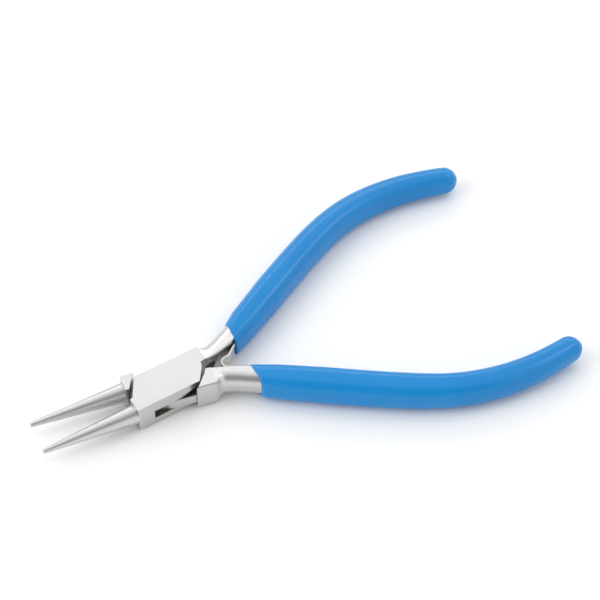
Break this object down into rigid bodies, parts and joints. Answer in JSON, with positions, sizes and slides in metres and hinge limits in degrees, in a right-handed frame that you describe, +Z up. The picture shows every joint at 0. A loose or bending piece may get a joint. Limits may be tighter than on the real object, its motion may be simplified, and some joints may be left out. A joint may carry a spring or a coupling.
{
  "type": "round nose pliers",
  "caption": "Small box-joint jewellery pliers with two tapering round jaws, a bent return spring and dipped, curved handles.",
  "frame": {"origin": "on the pivot's axis, at the flat underside of the box joint", "axes": "+X from the jaws to the handles along the tool's centre line, +Z up along the pivot, +Y to the upper handle"},
  "size_m": [0.1285, 0.0739, 0.0081],
  "materials": {
    "polished_steel": "fine satin polish",
    "spring_steel": "bright rolled strip",
    "blue_grip": "glossy dipped vinyl"
  },
  "bodies": {
    "box_side": {"box_half": "polished_steel", "pivot_pin": "polished_steel", "grip_upper": "blue_grip", "spring_rivet_upper": "spring_steel"},
    "inner_side": {"inner_half": "polished_steel", "grip_lower": "blue_grip", "spring_rivet_lower": "spring_steel", "return_spring": "spring_steel"}
  },
  "joints": [
    {"name": "jaw_pivot", "type": "hinge", "parent": "box_side", "child": "inner_side", "pos_m": [0, 0, 0], "axis": [0, 0, 1], "range_deg": [0, 12.3], "stiffness_Nm_per_rad": 1.5, "deforming": ["return_spring"]}
  ]
}
